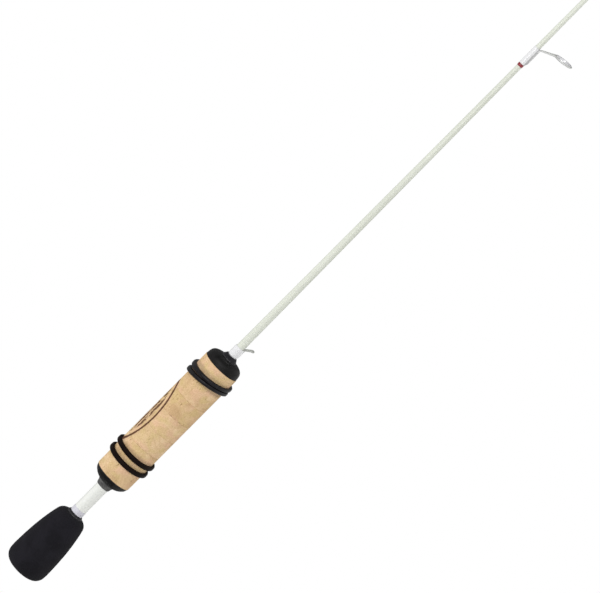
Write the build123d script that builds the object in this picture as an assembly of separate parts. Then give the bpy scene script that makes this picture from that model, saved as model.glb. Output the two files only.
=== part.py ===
"""Ice fishing rod: blank, cork grip, foam knob, reel rings and line guides.

The rod lies along +X from butt to tip, +Z is up and the guides hang below it.
The origin is the centre of the knob's flat rear end. Units are millimetres.
"""
import math
import os

from build123d import *

# Clearances
GLUE_GAP = 0.05
WRAP_GAP = 0.03
SLIDE_GAP = 0.05

# Blank: radius at each station along the rod
BLANK_START = 24.0
BLANK_END = 655.0
BLANK_STATIONS = ((24.0, 2.58), (190.0, 2.56), (254.0, 2.32), (364.0, 1.86), (440.0, 1.61), (655.0, 0.6))

# Handle tube
TUBE_START = 20.5
TUBE_END = 177.8
TUBE_R = 4.05
TUBE_BORE_R = BLANK_STATIONS[0][1] + GLUE_GAP
TUBE_SEAT_R = TUBE_R + GLUE_GAP

# Butt knob
KNOB_END = 47.0
KNOB_HOLE_START = 20.0
KNOB_PROFILE = (
    (0.0, 7.2),
    (1.1, 10.9),
    (3.4, 13.0),
    (7.2, 13.68),
    (13.0, 13.56),
    (20.0, 13.28),
    (28.0, 12.65),
    (36.0, 11.58),
    (43.8, 10.0),
)
KNOB_SHOULDER = (45.7, 8.7)
KNOB_NOSE_R = 5.8

# Butt collar and trim band
COLLAR_END = 48.6
COLLAR_REAR_R = 5.5
COLLAR_FRONT_R = 4.6
TRIM_END = 52.2
TRIM_R = 4.28

# Rear winding check and rear cap
REAR_CHECK_START = 71.3
REAR_CAP_START = 75.2
REAR_CHECK_R = 4.8
REAR_CHECK_BEAD_R = 5.5
REAR_CAP_PROFILE = ((75.2, 7.0), (76.1, 8.75), (77.9, 10.75), (79.3, 11.5), (80.6, 11.85))

# Cork grip
CORK_START = 80.6
CORK_END = 172.8
CORK_R = 12.05
CORK_RINGS = 7
CORK_EDGE = 0.08

# Front cap and front winding check
FRONT_CAP_PROFILE = (
    (172.8, 11.85),
    (175.4, 11.55),
    (176.9, 10.95),
    (177.9, 9.95),
    (178.6, 8.5),
    (179.0, 6.9),
)
FRONT_CAP_END = 179.0
FRONT_CHECK_END = 181.9
FRONT_CHECK_REAR_R = 5.3
FRONT_CHECK_FRONT_R = 3.65

# Hook keeper and its wrap
KEEPER_WRAP_END = 188.8
KEEPER_WRAP_R = 3.15
KEEPER_WIRE_R = 0.5
KEEPER_FOOT_START = 183.4
KEEPER_FOOT_Y = 1.3
KEEPER_FOOT_Z = -2.85
KEEPER_KNEE_X = 190.0
KEEPER_LOOP_Y = 1.8
KEEPER_LOOP_X = 192.3
KEEPER_LOOP_Z = -7.45
KEEPER_BEND_R = 1.4
KEEPER_THREAD = 0.22

# Guides: ring plane, drop of its centre, outer radius, wire radius, insert wall, foot length
GUIDES = (
    (441.3, 16.0, 6.40, 0.50, 0.85, 11.6),
    (512.0, 12.0, 4.50, 0.45, 0.70, 9.6),
    (569.0, 8.8, 3.50, 0.42, 0.60, 8.6),
    (616.0, 6.6, 2.85, 0.40, 0.50, 7.8),
)
GUIDE_LEAN = 6.5
GUIDE_JOIN_ANGLE = 30.0
LEG_RUN = 0.565
FOOT_WIDTH = 1.5
FOOT_THICK = 0.85
FOOT_TOE = 2.5
INSERT_WIDTH = 1.7
INSERT_LAND = 0.9
WRAP_THREAD = 0.24
WRAP_REAR_REACH = 1.2
WRAP_RAMP = 0.8
TRIM_GAP = 0.1
TRIM_WIDTH = 1.9

# Tip-top
TIP_TUBE_START = 647.5
TIP_TUBE_END = 657.0
TIP_TUBE_R = 1.05
TIP_RING_X = 659.2
TIP_RING_DROP = 4.5
TIP_RING_R = 3.3
TIP_WIRE_R = 0.4
TIP_INSERT_WALL = 0.55
TIP_INSERT_WIDTH = 1.3
TIP_INSERT_LAND = 0.8
TIP_BRACE_START = 651.0
TIP_WRAP_START = 640.0
TIP_WRAP_END = 647.3

# Reel rings: place, slope along Y and slope along Z
REEL_RINGS = (
    (93.8, 0.070, -0.020),
    (99.9, 0.052, 0.0),
    (160.97, -0.038, -0.145),
    (165.15, 0.046, -0.125),
)
REEL_RING_WIDTH = 2.9
REEL_RING_THICK = 1.95
REEL_RING_OUTER_FILLET = 0.9
REEL_RING_INNER_FILLET = 0.2


def blank_radius(x: float) -> float:
    """Blank's radius at a place along the rod."""
    for (x0, r0), (x1, r1) in zip(BLANK_STATIONS, BLANK_STATIONS[1:]):
        if x <= x1:
            return r0 + (r1 - r0) * max(x - x0, 0.0) / (x1 - x0)
    return BLANK_STATIONS[-1][1]


def turned(points: list) -> Part:
    """Solid of revolution about X from a closed outline of (x, radius) points."""
    with BuildPart() as part:
        with BuildSketch(Plane.XY):
            with BuildLine():
                Polyline(*points, close=True)
            make_face()
        revolve(axis=Axis.X)
    return part.part


def turned_smooth(curve: list, tail: list) -> Part:
    """Solid of revolution whose outside is a smooth curve, closed by straight lines."""
    with BuildPart() as part:
        with BuildSketch(Plane.XY):
            with BuildLine():
                Spline(*curve)
                Polyline(curve[-1], *tail, curve[0])
            make_face()
        revolve(axis=Axis.X)
    return part.part


def ring_x(x0: float, x1: float, outer: float, inner: float) -> Part:
    """Plain ring about X."""
    return turned([(x0, inner), (x1, inner), (x1, outer), (x0, outer)])


def rod_between(start: Vector, end: Vector, radius: float) -> Part:
    """Round bar between two points."""
    way = end - start
    return Plane(origin=start, z_dir=way) * Cylinder(
        radius, way.length, align=(Align.CENTER, Align.CENTER, Align.MIN)
    )


def ball(at: Vector, radius: float) -> Part:
    """Ball that rounds the end of a bar."""
    return Pos(at.X, at.Y, at.Z) * Sphere(radius)


def largest(shape: Part) -> Solid:
    """Keep the largest solid of a shape."""
    return max(shape.solids(), key=lambda solid: solid.volume)


def blank_core(x0: float, x1: float, gap: float) -> Part:
    """The blank's own space with a gap, used to bore the pieces wound on it."""
    inside = [(x, blank_radius(x)) for x, _ in BLANK_STATIONS if x0 < x < x1]
    stations = [(x0, blank_radius(x0))] + inside + [(x1, blank_radius(x1))]
    outline = [(x, r + gap) for x, r in stations]
    return turned([(x0, 0.0)] + outline + [(x1, 0.0)])


def make_blank() -> Part:
    """Solid tapering blank with a rounded tip."""
    outline = [(x, r) for x, r in BLANK_STATIONS]
    return turned([(BLANK_START, 0.0)] + outline + [(BLANK_END, 0.0)])


def make_handle_tube() -> Part:
    """Tube that carries the grip."""
    return ring_x(TUBE_START, TUBE_END, TUBE_R, TUBE_BORE_R)


def make_butt_knob() -> Part:
    """Foam knob: swells behind, tapers forwards, and is bored from the front."""
    curve = list(KNOB_PROFILE)
    tail = [
        KNOB_SHOULDER,
        (KNOB_END, KNOB_NOSE_R),
        (KNOB_END, TUBE_SEAT_R),
        (KNOB_HOLE_START, TUBE_SEAT_R),
        (KNOB_HOLE_START, 0.0),
        (0.0, 0.0),
    ]
    return turned_smooth(curve, tail)


def make_butt_collar() -> Part:
    """Small tapered collar in front of the knob."""
    return turned([
        (KNOB_END, TUBE_SEAT_R),
        (COLLAR_END, TUBE_SEAT_R),
        (COLLAR_END, COLLAR_FRONT_R),
        (KNOB_END + 0.6, COLLAR_REAR_R),
        (KNOB_END, COLLAR_REAR_R),
    ])


def make_butt_trim() -> Part:
    """Thin band next to the butt collar."""
    return ring_x(COLLAR_END, TRIM_END, TRIM_R, TUBE_SEAT_R)


def make_rear_winding_check() -> Part:
    """Collar behind the cork, flaring to a bead next to the cap."""
    bead_start = REAR_CAP_START - 1.3
    return turned([
        (REAR_CHECK_START, TUBE_SEAT_R),
        (REAR_CAP_START, TUBE_SEAT_R),
        (REAR_CAP_START, REAR_CHECK_BEAD_R),
        (bead_start, REAR_CHECK_BEAD_R - 0.2),
        (bead_start - 0.5, REAR_CHECK_R + 0.15),
        (REAR_CHECK_START + 1.0, REAR_CHECK_R - 0.05),
        (REAR_CHECK_START, REAR_CHECK_R - 0.4),
    ])


def make_rear_cap() -> Part:
    """Domed cap on the cork's rear end."""
    tail = [(CORK_START, TUBE_SEAT_R), (REAR_CAP_START, TUBE_SEAT_R)]
    return turned_smooth(list(REAR_CAP_PROFILE), tail)


def make_cork_ring(index: int) -> Part:
    """One cork ring of the grip."""
    length = (CORK_END - CORK_START) / CORK_RINGS
    x0 = CORK_START + index * length
    x1 = x0 + length
    return turned([
        (x0, TUBE_SEAT_R),
        (x1, TUBE_SEAT_R),
        (x1, CORK_R - CORK_EDGE),
        (x1 - CORK_EDGE, CORK_R),
        (x0 + CORK_EDGE, CORK_R),
        (x0, CORK_R - CORK_EDGE),
    ])


def make_front_cap() -> Part:
    """Domed cap on the cork's front end, stepped down from the tube to the blank."""
    step = TUBE_END + GLUE_GAP
    tail = [
        (FRONT_CAP_END, TUBE_BORE_R),
        (step, TUBE_BORE_R),
        (step, TUBE_SEAT_R),
        (CORK_END, TUBE_SEAT_R),
    ]
    return turned_smooth(list(FRONT_CAP_PROFILE), tail)


def make_front_winding_check() -> Part:
    """Cone that leads from the front cap down to the blank."""
    return turned([
        (FRONT_CAP_END, TUBE_BORE_R),
        (FRONT_CHECK_END, TUBE_BORE_R),
        (FRONT_CHECK_END, FRONT_CHECK_FRONT_R),
        (FRONT_CAP_END + 0.8, FRONT_CHECK_REAR_R - 0.1),
        (FRONT_CAP_END, FRONT_CHECK_REAR_R),
    ])


def make_hook_keeper() -> Part:
    """Bent wire loop: two feet on the blank, two legs and a crossbar."""
    with BuildPart() as part:
        with BuildLine() as path:
            FilletPolyline(
                (KEEPER_FOOT_START, -KEEPER_FOOT_Y, KEEPER_FOOT_Z),
                (KEEPER_KNEE_X, -KEEPER_FOOT_Y, KEEPER_FOOT_Z - 0.15),
                (KEEPER_LOOP_X, -KEEPER_LOOP_Y, KEEPER_LOOP_Z),
                (KEEPER_LOOP_X, KEEPER_LOOP_Y, KEEPER_LOOP_Z),
                (KEEPER_KNEE_X, KEEPER_FOOT_Y, KEEPER_FOOT_Z - 0.15),
                (KEEPER_FOOT_START, KEEPER_FOOT_Y, KEEPER_FOOT_Z),
                radius=KEEPER_BEND_R,
            )
        with BuildSketch(Plane(origin=path.line @ 0, z_dir=path.line % 0)):
            Circle(KEEPER_WIRE_R)
        sweep(path=path.line)
    return part.part


def keeper_cover(grow: float) -> Part:
    """Round bars over the keeper's feet, grown by the thread or by a gap."""
    cover = Part()
    for side in (-1, 1):
        start = Vector(FRONT_CHECK_END, side * KEEPER_FOOT_Y, KEEPER_FOOT_Z)
        end = Vector(KEEPER_WRAP_END, side * KEEPER_FOOT_Y, KEEPER_FOOT_Z - 0.12)
        cover += rod_between(start, end, KEEPER_WIRE_R + grow)
    return cover


def make_keeper_wrap() -> Part:
    """Thread wrap that binds the keeper's feet to the blank."""
    wrap = ring_x(FRONT_CHECK_END, KEEPER_WRAP_END, KEEPER_WRAP_R, 0.5)
    wrap += keeper_cover(KEEPER_THREAD)
    wrap &= ring_x(FRONT_CHECK_END, KEEPER_WRAP_END, 2 * KEEPER_WRAP_R, 0.5)
    wrap -= keeper_cover(GLUE_GAP)
    wrap -= blank_core(FRONT_CHECK_END - 1, KEEPER_WRAP_END + 1, WRAP_GAP)
    return wrap


class GuideShape:
    """Places and sizes of one guide, worked out from its row in GUIDES."""

    def __init__(self, row: tuple):
        """Read the row and work out the foot, ring plane and leg ends."""
        self.x, self.drop, self.outer, self.wire, self.wall, self.foot = row
        self.centre = Vector(self.x, 0.0, -self.drop)
        lean = math.radians(GUIDE_LEAN)
        self.out = Vector(math.sin(lean), 0.0, -math.cos(lean))
        self.normal = Vector(math.cos(lean), 0.0, math.sin(lean))
        self.mid = self.outer - self.wire
        self.inner = self.mid - self.wire
        self.knee_x = self.x - LEG_RUN * (self.drop - self.mid - blank_radius(self.x))
        self.foot_z = -(blank_radius(self.knee_x) + WRAP_GAP + FOOT_THICK / 2)
        self.foot_start = self.knee_x - self.foot
        self.wrap_start = self.foot_start - WRAP_REAR_REACH
        self.wrap_end = self.knee_x + 0.2

    def on_ring(self, angle: float) -> Vector:
        """Point on the ring's centre line; angle 0 is the side next to the blank."""
        turn = math.radians(angle)
        across = Vector(0, math.sin(turn) * self.mid, 0)
        return self.centre - self.out * (math.cos(turn) * self.mid) + across

    def plane(self) -> Plane:
        """Plane of the ring."""
        return Plane(origin=self.centre, x_dir=(0, 1, 0), z_dir=self.normal)


def make_foot(guide: GuideShape, grow: float) -> Part:
    """Flattened foot along the blank, thinned to a toe; grown to make its cover."""
    deep = FOOT_THICK / 2 + grow
    toe = FOOT_THICK / 2 - 0.25 + grow
    high = guide.foot_z + FOOT_THICK / 2
    x0 = guide.foot_start - grow
    x1 = guide.knee_x + 0.3
    with BuildPart() as part:
        with BuildSketch(Plane.XZ):
            with BuildLine():
                Polyline(
                    (x0, high + grow),
                    (x0, high - toe - 0.1),
                    (x0 + FOOT_TOE, high - 2 * deep + grow),
                    (x1, high - 2 * deep + grow),
                    (x1, high + grow),
                    close=True,
                )
            make_face()
        extrude(amount=FOOT_WIDTH / 2 + grow, both=True)
    return part.part


def make_guide_frame(guide: GuideShape) -> Part:
    """Wire frame: foot, two legs and the ring that holds the insert."""
    frame = guide.plane() * Torus(guide.mid, guide.wire)
    frame += make_foot(guide, 0.0)
    for side in (-1, 1):
        start = Vector(guide.knee_x, side * (FOOT_WIDTH / 2 - guide.wire * 0.6), guide.foot_z)
        end = guide.on_ring(side * GUIDE_JOIN_ANGLE)
        frame += rod_between(start, end, guide.wire)
        frame += ball(start, guide.wire)
    frame -= blank_core(guide.foot_start - 2, guide.x, WRAP_GAP)
    return frame


def make_guide_ring(guide: GuideShape) -> Part:
    """Ring insert: rounded lips each side of a short straight land."""
    return guide.plane() * insert_ring(guide.inner - GLUE_GAP, guide.wall, INSERT_WIDTH, INSERT_LAND)


def insert_ring(outer: float, wall: float, width: float, land: float) -> Part:
    """Insert about Z with a straight land in its bore and eased edges."""
    inner = outer - wall
    ease = wall * 0.55
    half = width / 2
    with BuildPart() as part:
        with BuildSketch(Plane.XZ):
            with BuildLine():
                Polyline(
                    (inner, -land / 2),
                    (inner, land / 2),
                    (inner + ease, half),
                    (outer - 0.1, half),
                    (outer, half - 0.15),
                    (outer, -half + 0.15),
                    (outer - 0.1, -half),
                    (inner + ease, -half),
                    close=True,
                )
            make_face()
        revolve(axis=Axis.Z)
    return part.part


def make_guide_wrap(guide: GuideShape) -> Part:
    """Thread wrap over the guide's foot, ramped down to the blank at its rear."""
    rear = blank_radius(guide.wrap_start) + WRAP_THREAD * 0.6
    full = blank_radius(guide.wrap_start) + WRAP_THREAD
    wrap = turned([
        (guide.wrap_start, 0.2),
        (guide.wrap_end, 0.2),
        (guide.wrap_end, full),
        (guide.wrap_start + WRAP_RAMP, full),
        (guide.wrap_start, rear),
    ])
    cover = make_foot(guide, WRAP_THREAD * 0.7)
    wrap += cover & ring_x(guide.wrap_start, guide.wrap_end, 6.0, 0.2)
    wrap -= make_foot(guide, 0.02)
    for side in (-1, 1):
        start = Vector(guide.knee_x, side * (FOOT_WIDTH / 2 - guide.wire * 0.6), guide.foot_z)
        end = guide.on_ring(side * GUIDE_JOIN_ANGLE)
        wrap -= rod_between(start, end, guide.wire + 0.02)
        wrap -= ball(start, guide.wire + 0.02)
    wrap -= blank_core(guide.wrap_start - 1, guide.wrap_end + 1, WRAP_GAP)
    return largest(wrap)


def make_trim_wrap(guide: GuideShape) -> Part:
    """Short thread band behind the guide wrap."""
    end = guide.wrap_start - TRIM_GAP
    start = end - TRIM_WIDTH
    band = ring_x(start, end, blank_radius(start) + WRAP_THREAD, 0.2)
    return band - blank_core(start - 1, end + 1, WRAP_GAP)


def tip_plane() -> Plane:
    """Plane of the tip ring, square to the rod."""
    return Plane(origin=(TIP_RING_X, 0, -TIP_RING_DROP), x_dir=(0, 0, -1), z_dir=(1, 0, 0))


def make_tip_tube() -> Part:
    """Tube of the tip-top, closed at its front end."""
    tube = turned([
        (TIP_TUBE_START, 0.0),
        (TIP_TUBE_END, 0.0),
        (TIP_TUBE_END, TIP_TUBE_R - 0.25),
        (TIP_TUBE_END - 0.25, TIP_TUBE_R),
        (TIP_TUBE_START, TIP_TUBE_R),
    ])
    return tube - blank_core(TIP_TUBE_START - 1, BLANK_END + WRAP_GAP, WRAP_GAP)


def make_tip_frame() -> Part:
    """Wire ring of the tip-top and the two braces soldered to its tube."""
    mid = TIP_RING_R - TIP_WIRE_R
    frame = tip_plane() * Torus(mid, TIP_WIRE_R)
    nose = Vector(TIP_TUBE_END - 0.4, 0.0, -TIP_TUBE_R - TIP_WIRE_R * 0.6)
    frame += rod_between(nose, Vector(TIP_RING_X, 0.0, -TIP_RING_DROP + mid), TIP_WIRE_R)
    frame += ball(nose, TIP_WIRE_R)
    for side in (-1, 1):
        start = Vector(TIP_BRACE_START, side * (TIP_TUBE_R + 0.05), -TIP_WIRE_R)
        end = Vector(TIP_RING_X, side * mid, -TIP_RING_DROP)
        frame += rod_between(start, end, TIP_WIRE_R * 0.85)
        frame += ball(start, TIP_WIRE_R * 0.85)
    return frame - ring_x(TIP_TUBE_START, TIP_TUBE_END + 0.01, TIP_TUBE_R + 0.02, 0.01)


def make_tip_ring() -> Part:
    """Insert of the tip ring."""
    outer = TIP_RING_R - 2 * TIP_WIRE_R - GLUE_GAP
    return tip_plane() * insert_ring(outer, TIP_INSERT_WALL, TIP_INSERT_WIDTH, TIP_INSERT_LAND)


def make_tip_wrap() -> Part:
    """Thread wrap behind the tip-top's tube."""
    band = ring_x(TIP_WRAP_START, TIP_WRAP_END, blank_radius(TIP_WRAP_START) + WRAP_THREAD, 0.2)
    return band - blank_core(TIP_WRAP_START - 1, TIP_WRAP_END + 1, WRAP_GAP)


def make_reel_ring(place: float, slope_y: float, slope_z: float) -> Part:
    """Rubber ring on the cork, sitting askew, with its long edges rounded."""
    inner = CORK_R + SLIDE_GAP
    reach = 8.0
    tube = ring_x(place - reach, place + reach, inner + REEL_RING_THICK, inner)
    plane = Plane(origin=(place, 0, 0), z_dir=(1, -slope_y, -slope_z))
    slab = plane * Cylinder(3 * CORK_R, REEL_RING_WIDTH)
    ring = largest(tube & slab)
    edges = ring.edges().filter_by(lambda edge: edge.length > CORK_R)
    outer = [edge for edge in edges if edge.length > 2 * math.pi * (inner + REEL_RING_THICK / 2)]
    ring = fillet(outer, REEL_RING_OUTER_FILLET)
    return largest(ring)


def save(name: str, shape: Part) -> None:
    """Write one piece as its own file."""
    export_step(shape, os.path.join("parts", f"{name}.step"))


def main() -> None:
    """Build every piece and write it."""
    os.makedirs("parts", exist_ok=True)
    save("blank", make_blank())
    save("handle_tube", make_handle_tube())
    save("butt_knob", make_butt_knob())
    save("butt_collar", make_butt_collar())
    save("butt_trim", make_butt_trim())
    save("rear_winding_check", make_rear_winding_check())
    save("rear_cap", make_rear_cap())
    for index in range(CORK_RINGS):
        save(f"cork_ring_{index + 1}", make_cork_ring(index))
    save("front_cap", make_front_cap())
    save("front_winding_check", make_front_winding_check())
    save("hook_keeper", make_hook_keeper())
    save("keeper_wrap", largest(make_keeper_wrap()))
    for number, row in enumerate(GUIDES, start=1):
        guide = GuideShape(row)
        save(f"guide_frame_{number}", make_guide_frame(guide))
        save(f"guide_ring_{number}", make_guide_ring(guide))
        save(f"guide_wrap_{number}", make_guide_wrap(guide))
        save(f"trim_wrap_{number}", make_trim_wrap(guide))
    save("tip_tube", make_tip_tube())
    save("tip_frame", make_tip_frame())
    save("tip_ring", make_tip_ring())
    save("tip_wrap", make_tip_wrap())
    for number, row in enumerate(REEL_RINGS, start=1):
        save(f"reel_ring_{number}", make_reel_ring(*row))


main()
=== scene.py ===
"""Looks of an ice fishing rod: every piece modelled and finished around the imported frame.

The rod lies along +X from butt to tip, +Z is up and the guides hang below it. Lengths in the
sub-assembly classes are millimetres; MM turns them into metres as a piece is made. Colours of
three numbers are display colours of 0 to 255, and colours of four are linear.
"""

import logging
import math
from contextlib import contextmanager
from dataclasses import dataclass
from enum import Enum
from typing import Callable, Iterator, Optional, Sequence, Union

import bpy
from mathutils import Matrix, Vector


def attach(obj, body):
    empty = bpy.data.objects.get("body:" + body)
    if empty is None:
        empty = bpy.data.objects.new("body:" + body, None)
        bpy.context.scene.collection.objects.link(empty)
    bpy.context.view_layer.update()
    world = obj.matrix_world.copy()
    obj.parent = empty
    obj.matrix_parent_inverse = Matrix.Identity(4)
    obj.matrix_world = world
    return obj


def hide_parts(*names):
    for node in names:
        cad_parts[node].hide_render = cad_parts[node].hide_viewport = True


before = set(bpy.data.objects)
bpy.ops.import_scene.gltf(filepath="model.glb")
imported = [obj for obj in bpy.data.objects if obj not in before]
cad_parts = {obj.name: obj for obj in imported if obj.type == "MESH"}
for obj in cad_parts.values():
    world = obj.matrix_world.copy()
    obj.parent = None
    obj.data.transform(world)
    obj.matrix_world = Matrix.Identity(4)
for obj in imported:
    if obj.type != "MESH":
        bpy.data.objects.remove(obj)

MM = 0.001
FULL_TURN = 2 * math.pi
LOG = logging.getLogger("ice_rod")
Pair = tuple[float, float]
Colour = Sequence[float]
Piece = bpy.types.Object
Feed = Union[float, Sequence[float], "Value"]
Look = dict[str, Feed]


class Body(Enum):
    """Rigid bodies of the rod that pieces ride on."""

    ROD = "rod"
    RING_1 = "reel_ring_1"
    RING_2 = "reel_ring_2"
    RING_3 = "reel_ring_3"
    RING_4 = "reel_ring_4"


class Slot(Enum):
    """Material slots of the record."""

    FIBREGLASS = "fibreglass"
    TUBE = "tube_paint"
    FOAM = "foam"
    BLACK_TRIM = "black_trim"
    PALE_BAND = "pale_band"
    BLACK_RUBBER = "black_rubber"
    CORK = "cork"
    STEEL = "guide_steel"
    INSERT = "ring_insert"
    WHITE_THREAD = "white_thread"
    RED_THREAD = "red_thread"
    RING_RUBBER = "ring_rubber"


def linear(colour: Colour) -> Colour:
    """Turn a display colour into the linear one that a shader wants.

    Args:
        colour: Three numbers of 0 to 255, or four that are linear already.

    Returns:
        The linear colour with its alpha.
    """
    if len(colour) == 4:
        return colour
    parts = [channel / 255 for channel in colour]
    return (*(p / 12.92 if p <= 0.04045 else ((p + 0.055) / 1.055) ** 2.4 for p in parts), 1.0)


# ---------------------------------------------------------------- node trees


class Value:
    """An output socket whose arithmetic adds Math nodes."""

    def __init__(self, graph: "Graph", socket: bpy.types.NodeSocket) -> None:
        """Keep the graph and the socket."""
        self.graph, self.socket = graph, socket

    def __add__(self, other: Feed) -> "Value":
        """Add a number or value."""
        return self.graph.math("ADD", self, other)

    def __sub__(self, other: Feed) -> "Value":
        """Take away a number or value."""
        return self.graph.math("SUBTRACT", self, other)

    def __mul__(self, other: Feed) -> "Value":
        """Multiply by a number or value."""
        return self.graph.math("MULTIPLY", self, other)

    def __truediv__(self, other: Feed) -> "Value":
        """Divide by a number or value."""
        return self.graph.math("DIVIDE", self, other)

    def __abs__(self) -> "Value":
        """Drop the sign."""
        return self.graph.math("ABSOLUTE", self)


class Graph:
    """Adds nodes to one node tree and wires them up."""

    def __init__(self, tree: bpy.types.NodeTree) -> None:
        """Keep the tree to build in."""
        self.tree = tree

    def node(self, kind: str, **settings: object) -> bpy.types.Node:
        """Add a node and set its properties.

        Args:
            kind: Node type, after its ShaderNode.
            **settings: Properties of the node.

        Returns:
            The new node.
        """
        made = self.tree.nodes.new("ShaderNode" + kind)
        for key, value in settings.items():
            setattr(made, key, value)
        return made

    def plug(self, socket: bpy.types.NodeSocket, value: Feed) -> None:
        """Link a value into an input, or set it.

        Args:
            socket: The input to fill.
            value: A value, number, vector or colour.
        """
        if isinstance(value, Value):
            self.tree.links.new(value.socket, socket)
        else:
            socket.default_value = linear(value) if socket.type == "RGBA" else value

    def fill(self, node: bpy.types.Node, *values: Feed, **named: Feed) -> Optional[Value]:
        """Fill a node's inputs.

        Args:
            node: The node.
            *values: Its first inputs, in order.
            **named: Inputs by name, with underscores for spaces.

        Returns:
            The node's first output, if it has one.
        """
        for socket, value in zip(node.inputs, values):
            self.plug(socket, value)
        for key, value in named.items():
            self.plug(node.inputs[key.replace("_", " ")], value)
        return Value(self, node.outputs[0]) if node.outputs else None

    def add(self, kind: str, *values: Feed, **settings: object) -> Value:
        """Return the first output of a new node whose first inputs are filled in order."""
        return self.fill(self.node(kind, **settings), *values)

    def read(self, kind: str, output: str) -> Value:
        """Return one named output of a new node."""
        return Value(self, self.node(kind).outputs[output])

    def math(self, operation: str, *values: Feed, clamp: bool = False) -> Value:
        """Return a Math node's result, kept between 0 and 1 by clamp."""
        return self.add("Math", *values, operation=operation, use_clamp=clamp)

    def between(
        self, value: Feed, low: float, high: float, out_low: float = 0.0, out_high: float = 1.0
    ) -> Value:
        """Return a value stepped smoothly from low and high to out_low and out_high."""
        return self.add("MapRange", value, low, high, out_low, out_high, interpolation_type="SMOOTHSTEP")

    def scaled(self, value: Feed, out_low: float, out_high: float, low: float = 0.0) -> Value:
        """Return a value of low to 1 mapped evenly to out_low and out_high."""
        return self.add("MapRange", value, low, 1.0, out_low, out_high)

    def mix(self, factor: Feed, first: Feed, second: Feed) -> Value:
        """Mix two colours.

        Args:
            factor: Share of the second colour.
            first: First colour.
            second: Second colour.

        Returns:
            The mixed colour.
        """
        made = self.node("Mix", data_type="RGBA")
        for index, value in ((0, factor), (6, first), (7, second)):
            self.plug(made.inputs[index], value)
        return Value(self, made.outputs[2])

    def place(self) -> Value:
        """Return the object's own coordinates."""
        return self.read("TexCoord", "Object")

    def axes(self, vector: Value) -> list[Value]:
        """Return a vector's X, Y and Z."""
        return [Value(self, socket) for socket in self.add("SeparateXYZ", vector).socket.node.outputs]

    def mapping(self, vector: Value, scale: Colour, location: Colour = (0, 0, 0)) -> Value:
        """Return a vector stretched along each axis, then moved."""
        return self.fill(self.node("Mapping"), Vector=vector, Scale=scale, Location=location)

    def random(self, index: Value) -> Value:
        """Return a random value of 0 to 1 for each whole index."""
        return self.fill(self.node("TexWhiteNoise", noise_dimensions="1D"), W=index)

    def noise(self, vector: Value, scale: Feed, octaves: float, rough: float, warp: float = 0.0) -> Value:
        """Return smooth noise, about 0.5 on average, with scale waves per metre."""
        made = self.node("TexNoise")
        return self.fill(made, Vector=vector, Scale=scale, Detail=octaves, Roughness=rough, Distortion=warp)

    def cells(self, vector: Value, scale: float) -> Value:
        """Return the distance to the nearest of scattered points, scale of them per metre."""
        return self.fill(self.node("TexVoronoi"), Vector=vector, Scale=scale)

    def ramp(self, value: Value, *stops: tuple[float, Colour]) -> Value:
        """Colour a value.

        Args:
            value: Value between 0 and 1.
            *stops: Pairs of place and colour.

        Returns:
            The colour.
        """
        made = self.node("ValToRGB")
        elements = made.color_ramp.elements
        while len(elements) < len(stops):
            elements.new(0.5)
        for element, (place, colour) in zip(elements, stops):
            element.position = place
            element.color = linear(colour)
        return self.fill(made, Fac=value)

    def bump(self, height: Value, depth: float, strength: float) -> Value:
        """Return the normal of a height, where 1 stands for depth in millimetres."""
        return self.fill(self.node("Bump"), Distance=depth * MM, Strength=strength, Height=height)

    def group(self, effect: "Effect", *values: Feed) -> list[Value]:
        """Return the outputs of a shared effect whose inputs are filled in order."""
        made = self.fill(self.node("Group", node_tree=effect.tree()), *values).socket.node
        return [Value(self, socket) for socket in made.outputs]


class Effect(Enum):
    """Shader groups that several finishes share: name, inputs after Vector, and outputs."""

    GRAIN = ("grain", {"Fine Scale": 3000.0, "Broad Scale": 200.0}, ("Fine", "Broad"))
    EDGE_WEAR = ("edge_wear", {"Scale": 900.0, "Amount": 0.5}, ("Mask",))
    THREAD_TURNS = ("thread_turns", {"Turns": 4500.0}, ("Height", "Groove", "Tone"))
    HANDLING = ("handling", {"Scale": 120.0}, ("Smudge", "Scratch"))
    AROUND_ROD = ("around_rod", {"Girth": 0.0125}, ("Along", "Arc", "Below"))

    def tree(self) -> bpy.types.NodeTree:
        """Return the group's tree, built the first time it is asked for.

        Returns:
            The tree, with named sockets.
        """
        name, inputs, outputs = self.value
        if name in bpy.data.node_groups:
            return bpy.data.node_groups[name]
        tree = bpy.data.node_groups.new(name, "ShaderNodeTree")
        tree.interface.new_socket("Vector", in_out="INPUT", socket_type="NodeSocketVector")
        for key, start in inputs.items():
            socket = tree.interface.new_socket(key, in_out="INPUT", socket_type="NodeSocketFloat")
            socket.default_value = start
        for key in outputs:
            tree.interface.new_socket(key, in_out="OUTPUT", socket_type="NodeSocketFloat")
        graph = Graph(tree)
        given = tree.nodes.new("NodeGroupInput").outputs
        taken = tree.nodes.new("NodeGroupOutput").inputs
        results = EFFECT_MAKERS[self](graph, *(Value(graph, given[i]) for i in range(len(inputs) + 1)))
        for socket, result in zip(taken, results):
            graph.plug(socket, result)
        return tree


def grain(graph: Graph, place: Value, fine_scale: Value, broad_scale: Value) -> Sequence[Value]:
    """Return Fine and Broad noise, for colour variation and bump."""
    fine, broad = graph.noise(place, fine_scale, 4.0, 0.6), graph.noise(place, broad_scale, 2.0, 0.5, 0.4)
    return graph.between(fine, 0.25, 0.75), graph.between(broad, 0.3, 0.7)


def edge_wear(graph: Graph, place: Value, scale: Value, amount: Value) -> Sequence[Value]:
    """Build a mask of rubbed edges, broken up by noise. Where a finish paints these edges lighter than the part,
    they are a painted edge highlight as well as wear.

    Args:
        graph: The group's graph.
        place: Where to read it.
        scale: Waves of the noise per metre.
        amount: Strength of the wear and painted highlight.

    Returns:
        The Mask.
    """
    edge, patch = graph.read("NewGeometry", "Pointiness"), graph.noise(place, scale, 4.0, 0.65)
    worn_and_highlight = graph.between(edge, 0.5, 0.58) * graph.between(patch, 0.4, 0.62)
    return (graph.math("MULTIPLY", worn_and_highlight, amount, clamp=True),)


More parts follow.
